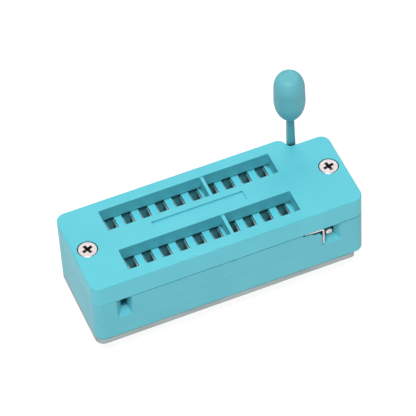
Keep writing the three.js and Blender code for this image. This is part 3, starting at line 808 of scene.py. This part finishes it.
def housing_shape():
    """The two halves and the raised block joined, then every well, pocket and room cut out."""
    low, high = HOUSING_LOW, HOUSING_HIGH
    lower = rounded_plate(full_outline(), (low.z, SHELF_Z), top=0.035, bottom=0.12)
    upper = rounded_plate(stepped_outline(), (SHELF_Z, SEAM_BOTTOM), top=0.05, bottom=0.035)
    ledge_corners = [(low.x, low.y, CORNER), (LEDGE_X, low.y, 0), (LEDGE_X, high.y, 0),
                     (low.x, high.y, CORNER)]
    ledge = rounded_plate(ledge_corners, (SEAM_BOTTOM - 0.3, SEAM_TOP - 0.01), top=0.02)
    raised = block(
        (RAISED_START_X, ARM_LEFT_X), (-RAISED_HALF_Y, RAISED_HALF_Y), (SEAM_BOTTOM - 0.5, high.z)
    )
    core = block((-20, 20), (-5, 5), (SHELF_Z - 1, SHELF_Z + 1))
    shape = combined(shape_of("housing", lower), [upper, core, raised, ledge], "UNION")
    wells = at_every_contact(
        lambda x, y: pocket_tool(
            about(x, WELL_HALF_X), about(y, WELL_HALF_Y), (low.z - CLEAR, high.z), WELL_RIM
        )
    )
    arm_room = block((ARM_LEFT_X, ARM_ROOM_END_X), ARM_ROOM_Y, (ROOM_FLOOR, TOOL_TOP))
    tongue_room = block(
        (ARM_LEFT_X, TONGUE_ROOM_END_X), about(0, TONGUE_ROOM_HALF_Y), (ROOM_FLOOR, TOOL_TOP)
    )
    cam_room = block(CAM_ROOM_X, about(0, CAM_ROOM_HALF_Y), (CAM_ROOM_FLOOR, TOOL_TOP))
    throats = [
        pocket_run(RIGHT_THROAT, THROAT_FRONT_Y, RIGHT_THROAT, BEARING_FRONT_Y),
        pocket_run(LEFT_THROAT, THROAT_FRONT_Y, LEFT_THROAT, -BEARING_FRONT_Y),
    ]
    groove_y = (BEARING_FRONT_Y - 0.01, GROOVE_END_Y)
    groove = rod(SHAFT_RUN, groove_y)
    groove_way = block(about(PIVOT_X, SHAFT_RUN), groove_y, (PIVOT_Z, TOOL_TOP))
    hub_room = rod(HUB_ROOM_RADIUS, (STEP_Y, 8.4))
    screw_holes = gathered([
        round_tool(x, 0, BASE_HOLE_RADIUS, (BASE_HOLE_FLOOR, TOOL_TOP)) for x in (-SCREW_X, SCREW_X)
    ])
    tools = [
        wells, flared_pocket(RIGHT_MOUTH, RIGHT_THROAT), flared_pocket(LEFT_MOUTH, LEFT_THROAT),
        gathered(throats), arm_notch(), arm_room, tongue_room, cam_room, groove, groove_way,
        hub_room, screw_holes,
    ]
    return combined(shape, tools, "DIFFERENCE")


finished(
    housing_shape(), "housing_shell", HOUSING_FINISH, "base_plastic", "base", "base_housing"
)

# %% [markdown]
# ## The grey sheet underneath
# A thin grey sheet closes the bottom and holds the contacts in their wells. Its grey is painted
# shade: the sheet stands in for the shaded strip under the body. Its edge is nearly square, and it
# stops a little short of the housing at the right. Every tail comes out through a small slot in it.

# %% Bottom sheet, its grey painted shade
SHADE_SHEET_CORNER = 0.6
TAIL_HOLE_HALF_X = 0.27
TAIL_HOLE_HALF_Y = 0.37


def shade_sheet_shape():
    """The sheet with its twenty tail slots."""
    x, y = SHADE_SHEET_LOW.x, SHADE_SHEET_HIGH.y
    outline = [
        (x, -y, CORNER), (SHADE_SHEET_HIGH.x, -y, SHADE_SHEET_CORNER),
        (SHADE_SHEET_HIGH.x, y, SHADE_SHEET_CORNER), (x, y, CORNER),
    ]
    shape = shape_of("board", rounded_plate(outline, (SHADE_SHEET_LOW.z, SHADE_SHEET_HIGH.z), 0.05, 0.1))
    through = (SHADE_SHEET_LOW.z - CLEAR, SHADE_SHEET_HIGH.z + CLEAR)
    holes = at_every_contact(
        lambda x, y: block(about(x, TAIL_HOLE_HALF_X), about(y, TAIL_HOLE_HALF_Y), through)
    )
    return combined(shape, [holes], "DIFFERENCE")


finished(
    shade_sheet_shape(), "bottom_shade_sheet", SHADE_SHEET_FINISH, "plate_plastic", "base", "bottom_plate"
)

# %% [markdown]
# ## The sliding bed
# The bed is the ribbed floor of the windows. Its twenty slots let the chip's pins through, and each
# rib beside a slot pushes one contact leaf when the bed slides. The slots' rims are rounded, which
# shows as a fine bright line along each rib.

# %% Sliding bed
BED_CORNER = 0.4
PAD_HALF_Y = 2.3
PAD_BOTTOM = 8.45
PEG_RADIUS = 0.45
SLOT_HALF_X = 0.725
SLOT_HALF_Y = 2.45
SLOT_RIM = 0.1


def bed_shape():
    """The ribbed plate, with the neck, pad and pegs that the drive plate holds it by."""
    bottom, top = BED_BOTTOM, BED_HIGH.z
    y = BED_HALF_Y
    corners = [(BED_LOW.x, -y), (BED_END_X, -y), (BED_END_X, y), (BED_LOW.x, y)]
    plate = rounded_plate(
        [(*corner, BED_CORNER) for corner in corners],
        (bottom, top), top=0.05, bottom=0.05, segments=4,
    )
    neck = block((BED_END_X - 1, BED_HIGH.x), (-NECK_HALF_Y, NECK_HALF_Y), (bottom, top))
    pad = block((BED_END_X, BED_HIGH.x), (-PAD_HALF_Y, PAD_HALF_Y), (PAD_BOTTOM, bottom + 0.1))
    peg_z = (BED_LOW.z, PAD_BOTTOM + 0.1)
    pegs = gathered([round_tool(PEG_X, y, PEG_RADIUS, peg_z, segments=32) for y in PEG_Y])
    shape = combined(shape_of("bed", plate), [neck, pad, pegs], "UNION")
    slots = at_every_contact(
        lambda x, y: pocket_tool(
            about(x, SLOT_HALF_X), about(y, SLOT_HALF_Y), (bottom - CLEAR, top), SLOT_RIM
        )
    )
    return combined(shape, [slots], "DIFFERENCE")


finished(bed_shape(), "sliding_bed", BED_FINISH, "slider_plastic", "slider", "slider_plate")

# %% [markdown]
# ## The contacts
# A contact is one stamped strip, folded into a narrow U whose two leaves grip a pin between their
# noses. It is made the way it is pressed: a flat ribbon follows the folds, its bends are rounded,
# and the ribbon is then given its thickness. The left leaf reaches into the bed.

# %% Contacts
STRIP = 0.2
LEFT_LEAF_X = -0.6
RIGHT_LEAF_X = 0.55
LEFT_LEAF_TOP = 9.45
RIGHT_LEAF_TOP = 9.6
WEB_Z = 1.6
NOSE_Z = 7.2
NOSE_RISE = 0.4
NOSE_REACH = 0.18
LEAF_HALF_WIDTH = 1.7
ROOT_HALF_WIDTH = 0.9
TAIL_END = -3.2
NARROW_Z = 3.2
WIDE_Z = 5
FOLD_RADIUS = 0.14
TAIL_HALF_X = 0.15
TAIL_HALF_Y = 0.25
TAIL_TIP_RADIUS = 0.08


def leaf_half_width(z):
    """Narrow at the web and full width from half way up."""
    share = min(1, max(0, (z - 3.2) / 1.8))
    return ROOT_HALF_WIDTH + (LEAF_HALF_WIDTH - ROOT_HALF_WIDTH) * share


def ribbon_path():
    """The strip's middle line in X and Z, from the left leaf's tip to the right leaf's tip."""
    def leaf(x, towards, top):
        return [(x, top), (x, NOSE_Z + NOSE_RISE), (x + towards * NOSE_REACH, NOSE_Z),
                (x, NOSE_Z - NOSE_RISE), (x, WIDE_Z), (x, NARROW_Z), (x, WEB_Z)]
    left = leaf(LEFT_LEAF_X, 1, LEFT_LEAF_TOP)
    right = leaf(RIGHT_LEAF_X, -1, RIGHT_LEAF_TOP)
    return left + right[::-1]


def contact_shape(name):
    """One folded strip with its tail, standing at the middle of the grid."""
    bm = bmesh.new()
    line = [bm.verts.new((x, 0, z)) for x, z in ribbon_path()]
    edges = [bm.edges.new(pair) for pair in zip(line, line[1:])]
    swept = bmesh.ops.extrude_edge_only(bm, edges=edges)
    far = [g for g in swept["geom"] if isinstance(g, bmesh.types.BMVert)]
    for v in line:
        v.co.y = -leaf_half_width(v.co.z)
    for v in far:
        v.co.y = leaf_half_width(v.co.z)
    folds = [e for e in bm.edges if len(e.link_faces) == 2 and e.calc_face_angle(0) > 0.05]
    rounded(bm, folds, FOLD_RADIUS, segments=4)
    shape = shape_of(name, bm)
    thick = shape.modifiers.new("strip thickness", "SOLIDIFY")
    thick.thickness = STRIP
    thick.offset = 0
    thick.use_even_offset = True
    applied(shape)
    tail = block((-TAIL_HALF_X, TAIL_HALF_X), (-TAIL_HALF_Y, TAIL_HALF_Y), (TAIL_END, WEB_Z))
    tip = edges_where(tail, lambda co: co.z < TAIL_END + 0.01)
    rounded(tail, tip, TAIL_TIP_RADIUS, segments=2)
    return combined(shape, [tail], "UNION")


pattern = contact_shape("contact_pattern")
for number, (x, y) in enumerate(contact_places, 1):
    name = f"contact_strip_{number:02d}"
    strip = bpy.data.objects.new(name, pattern.data.copy())
    bpy.context.scene.collection.objects.link(strip)
    strip.data.transform(Matrix.Translation((x, y, 0)))
    finished(strip, name, TIN_FINISH, "contact_metal", None, f"contact_{number:02d}")
    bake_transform(strip)
bpy.data.objects.remove(pattern)

# %% [markdown]
# ## The drive plate
# The drive plate is stamped steel that lies under the bed. Two pegs of the bed sit in its holes, two
# cheeks fold down either side of the shaft's eccentric, and its front arm ends in a narrow finger
# that is bent down in the right pocket, where it stops the travel.

# %% Drive plate
SHEET = 0.25
DRIVE_Z = (8.1, 8.35)
ARM_X = (11.3, 14.2)
FINGER_BACK_Y = -7.18
ECCENTRIC_X = 14.95
CHEEK_REACH = 0.98
ARM_TAPER = 0.09
FINGER_BEND = 0.25
TONGUE_HALF_Y = 2.4
CHEEK_HALF_Y = 2.1
CHEEK_BOTTOM = 5.6
PEG_HOLE_RADIUS = 0.53


def bent_finger():
    """The narrow finger: a ribbon along the arm's front edge that turns down in a round bend."""
    bm = bmesh.new()
    middle_z = middle(DRIVE_Z)
    end_x = ARM_X[1] - SHEET / 2
    path = [(ARM_X[1] - 1.6, middle_z), (end_x, middle_z), (end_x, DRIVE_LOW.z + 0.05)]
    line = [bm.verts.new((x, DRIVE_LOW.y, z)) for x, z in path]
    edges = [bm.edges.new(pair) for pair in zip(line, line[1:])]
    swept = bmesh.ops.extrude_edge_only(bm, edges=edges)
    far = [g for g in swept["geom"] if isinstance(g, bmesh.types.BMVert)]
    bmesh.ops.translate(bm, vec=(0, FINGER_BACK_Y - DRIVE_LOW.y, 0), verts=far)
    folds = [e for e in bm.edges if len(e.link_faces) == 2 and e.calc_face_angle(0) > 0.05]
    rounded(bm, folds, FINGER_BEND, segments=6)
    shape = shape_of("finger", bm)
    thick = shape.modifiers.new("sheet thickness", "SOLIDIFY")
    thick.thickness = SHEET
    thick.offset = 0
    applied(shape)
    bm = bmesh.new()
    bm.from_mesh(shape.data)
    bpy.data.objects.remove(shape)
    return bm


def drive_shape():
    """The arm, tongue, cheeks and finger in one sheet, with the two peg holes."""
    arm = block((ARM_X[0], ARM_X[1] - 0.4), (DRIVE_LOW.y, DRIVE_HIGH.y), DRIVE_Z)
    for v in arm.verts:
        if v.co.x < ARM_X[0] + 0.01 and v.co.y < 0:
            v.co.y += ARM_TAPER
    edge_strip = block((ARM_X[1] - 0.5, ARM_X[1]), (FINGER_BACK_Y + 0.05, DRIVE_HIGH.y), DRIVE_Z)
    tongue = block((ARM_X[1] - 1, DRIVE_HIGH.x), (-TONGUE_HALF_Y, TONGUE_HALF_Y), DRIVE_Z)
    cheeks = gathered([
        block(x, (-CHEEK_HALF_Y, CHEEK_HALF_Y), (CHEEK_BOTTOM, DRIVE_Z[1]))
        for x in (
            (ECCENTRIC_X - CHEEK_REACH - SHEET, ECCENTRIC_X - CHEEK_REACH),
            (ECCENTRIC_X + CHEEK_REACH, ECCENTRIC_X + CHEEK_REACH + SHEET),
        )
    ])
    shape = combined(shape_of("drive", arm), [edge_strip, tongue, cheeks, bent_finger()], "UNION")
    through = (7, 9.4)
    holes = gathered([round_tool(PEG_X, y, PEG_HOLE_RADIUS, through, segments=32) for y in PEG_Y])
    return combined(shape, [holes], "DIFFERENCE")


finished(drive_shape(), "drive_sheet", STEEL_FINISH, "drive_steel", "slider", "drive_plate")

# %% [markdown]
# ## The shaft
# The shaft is turned steel with a rounded front end and an eccentric journal in its middle. Its
# back end is flattened to key it to the lever.

# %% Shaft
SHAFT_RADIUS = 0.55
END_RADIUS = 0.42
ECCENTRIC_RADIUS = 0.9
ECCENTRIC_OFFSET = 0.3
FLAT_START_Y = 5.6
FLAT_RISE = 0.25
END_CHAMFER = 0.13


def shaft_shape():
    """The turned bar with its eccentric, and the flat that keys its back end."""
    low, high = levels("cam_shaft")
    main = rod(SHAFT_RADIUS, (low.y, FLAT_START_Y))
    front_rim = edges_where(main, lambda co: co.y < low.y + 0.01)
    rounded(main, front_rim, END_CHAMFER, segments=4)
    eccentric = rod(ECCENTRIC_RADIUS, (-2, 2), PIVOT_X - ECCENTRIC_OFFSET,
                    PIVOT_Z + ECCENTRIC_OFFSET, 64)
    end = rod(END_RADIUS, (5.5, high.y))
    shape = combined(shape_of("shaft", main), [eccentric, end], "UNION")
    flat = block(about(PIVOT_X, 2), (FLAT_START_Y, 8), (PIVOT_Z + FLAT_RISE, PIVOT_Z + 2))
    return combined(shape, [flat], "DIFFERENCE")


finished(shaft_shape(), "turned_shaft", STEEL_FINISH, "drive_steel", "lever", "cam_shaft")

# %% [markdown]
# ## The lever
# The lever is one moulding: a round hub on the shaft, a flat stem that narrows upwards, and a
# thimble-shaped knob with a dished top. The knob is spun from its half outline, and the stem is a
# block whose top is drawn in.

# %% Lever
LEVER_Y = 6.45
STEM_FOOT = 0.59
STEM_NECK = 0.5
STEM_HALF_Y = 0.35
KNOB_RADIUS = 2.26
KNOB_UPPER_RADIUS = 2.21
KNOB_FLAT_RADIUS = 1.05
KNOB_DISH = 0.05
KNOB_BOTTOM = 17.1
KNOB_LOWER = 20.9
KNOB_UPPER = 23.2
KNOB_STEPS = 14
SPIN_STEPS = 64
HUB_RADIUS = 0.8
HUB_Y = (5.78, 7.12)
KEY_HOLE_Y = (4.78, 6.93)
KEY_HOLE_GAP = 0.08
SOFT_EDGE = 0.1


def spun_knob(top):
    """The knob: an elliptical bottom, a nearly straight waist, and a top that rounds to a flat."""
    quarter = [(math.pi / 2) * i / KNOB_STEPS for i in range(KNOB_STEPS + 1)]
    shoulder = KNOB_UPPER_RADIUS - KNOB_FLAT_RADIUS
    outline = [
        (KNOB_RADIUS * math.sin(a), KNOB_LOWER - (KNOB_LOWER - KNOB_BOTTOM) * math.cos(a))
        for a in quarter
    ]
    outline += [
        (KNOB_FLAT_RADIUS + shoulder * math.cos(a), KNOB_UPPER + (top - KNOB_UPPER) * math.sin(a))
        for a in quarter
    ]
    outline += [(KNOB_FLAT_RADIUS - KNOB_DISH, top - KNOB_DISH), (0, top - KNOB_DISH)]
    bm = bmesh.new()
    line = [bm.verts.new((radius, 0, z)) for radius, z in outline]
    edges = [bm.edges.new(pair) for pair in zip(line, line[1:])]
    bmesh.ops.spin(bm, geom=line + edges, cent=(0, 0, 0), axis=(0, 0, 1), angle=math.tau,
                   steps=SPIN_STEPS, use_merge=True)
    bmesh.ops.remove_doubles(bm, verts=bm.verts, dist=SPIN_WELD)
    bmesh.ops.recalc_face_normals(bm, faces=bm.faces)
    bmesh.ops.translate(bm, vec=(PIVOT_X, LEVER_Y, 0), verts=bm.verts)
    return bm


def drawn_stem():
    """The stem: a block from the hub into the knob, narrower above the cover's top."""
    cover_top = COVER_HIGH.z
    bm = block(about(PIVOT_X, STEM_FOOT), about(LEVER_Y, STEM_HALF_Y), (PIVOT_Z, KNOB_LOWER))
    for level in (cover_top, KNOB_BOTTOM):
        bmesh.ops.bisect_plane(bm, geom=bm.verts[:] + bm.edges[:] + bm.faces[:],
                               plane_co=(0, 0, level), plane_no=(0, 0, 1))
    for v in bm.verts:
        if v.co.z > cover_top + 0.01:
            v.co.x = PIVOT_X + math.copysign(STEM_NECK, v.co.x - PIVOT_X)
    upright = [e for e in bm.edges if abs(e.verts[0].co.z - e.verts[1].co.z) > 0.01]
    rounded(bm, upright, SOFT_EDGE)
    return bm


def lever_shape():
    """Hub, stem and knob in one, with a hole for the shaft's flattened end."""
    high = levels("lever_handle")[1]
    hub = rod(HUB_RADIUS, HUB_Y)
    hub_rims = [e for e in hub.edges if abs(e.verts[0].co.y - e.verts[1].co.y) < SAME_LEVEL]
    rounded(hub, hub_rims, SOFT_EDGE)
    shape = combined(shape_of("lever", hub), [drawn_stem(), spun_knob(high.z)], "UNION")
    key_hole = rod(END_RADIUS + KEY_HOLE_GAP, KEY_HOLE_Y, segments=32)
    key_flat = block(about(PIVOT_X, 2), (4, 8), (PIVOT_Z + 0.33, PIVOT_Z + 2))
    key = combined(shape_of("key", key_hole), [key_flat], "DIFFERENCE")
    key_mesh = bmesh.new()
    key_mesh.from_mesh(key.data)
    bpy.data.objects.remove(key)
    return combined(shape, [key_mesh], "DIFFERENCE")


finished(
    lever_shape(), "lever_moulding", LEVER_FINISH, "lever_plastic", "lever", "lever_handle"
)

# %% [markdown]
# ## The screws
# Two small pan-head screws hold the cover. The head is spun from its half outline with a rounded
# shoulder, and the cross is cut with a four-armed tool that narrows as it goes down, as a driver's
# tip does.

# %% Screws
HEAD_RADIUS = 1.4
SHANK_RADIUS = 0.7
SEAT_Z = SEAT_LEVEL + 0.05
CROSS_HALF = 0.93
CROSS_HALF_WIDTH = 0.25
CROSS_DEPTH = 0.75
SHOULDER = 0.14
SHOULDER_STEPS = 6
POINT_RADIUS = 0.3


def spun_screw(x, low, high):
    """The screw's body: a pointed shank, a flat seat, and a flat head with a rounded shoulder."""
    shoulder = [(math.pi / 2) * i / SHOULDER_STEPS for i in range(SHOULDER_STEPS + 1)]
    outline = [(0, low), (POINT_RADIUS, low), (SHANK_RADIUS, low + 1), (SHANK_RADIUS, SEAT_Z),
               (HEAD_RADIUS - 0.05, SEAT_Z), (HEAD_RADIUS, SEAT_Z + 0.05)]
    outline += [
        (HEAD_RADIUS - SHOULDER * (1 - math.cos(a)), high - SHOULDER * (1.3 - math.sin(a)))
        for a in shoulder
    ]
    outline += [(HEAD_RADIUS / 2, high - 0.01), (0, high)]
    bm = bmesh.new()
    line = [bm.verts.new((radius, 0, z)) for radius, z in outline]
    edges = [bm.edges.new(pair) for pair in zip(line, line[1:])]
    bmesh.ops.spin(bm, geom=line + edges, cent=(0, 0, 0), axis=(0, 0, 1), angle=math.tau,
                   steps=SPIN_STEPS, use_merge=True)
    bmesh.ops.remove_doubles(bm, verts=bm.verts, dist=SPIN_WELD)
    bmesh.ops.recalc_face_normals(bm, faces=bm.faces)
    bmesh.ops.translate(bm, vec=(x, 0, 0), verts=bm.verts)
    return bm


def cross_tool(x, top, angle):
    """Two crossed blades whose ends and sides draw in towards the bottom."""
    blades = []
    for long, wide in ((CROSS_HALF, CROSS_HALF_WIDTH), (CROSS_HALF_WIDTH, CROSS_HALF)):
        blade = block((-long, long), (-wide, wide), (top - CROSS_DEPTH, top + 0.3))
        for v in blade.verts:
            if v.co.z < top:
                v.co.x *= 0.55 if long > wide else 0.8
                v.co.y *= 0.55 if wide > long else 0.8
        blades.append(blade)
    tool = combined(shape_of("cross", blades[0]), [blades[1]], "UNION")
    bm = bmesh.new()
    bm.from_mesh(tool.data)
    bpy.data.objects.remove(tool)
    bmesh.ops.rotate(bm, cent=(0, 0, 0), matrix=Matrix.Rotation(angle, 3, "Z"), verts=bm.verts)
    bmesh.ops.translate(bm, vec=(x, 0, 0), verts=bm.verts)
    return bm


for side, x, turn in (("left", -SCREW_X, 20), ("right", SCREW_X, 12)):
    low, high = levels(f"screw_{side}")
    screw = shape_of("screw", spun_screw(x, low.z, high.z))
    combined(screw, [cross_tool(x, high.z, math.radians(turn))], "DIFFERENCE")
    finished(screw, f"pan_screw_{side}", NICKEL_FINISH, "screw_steel", "base", f"screw_{side}")
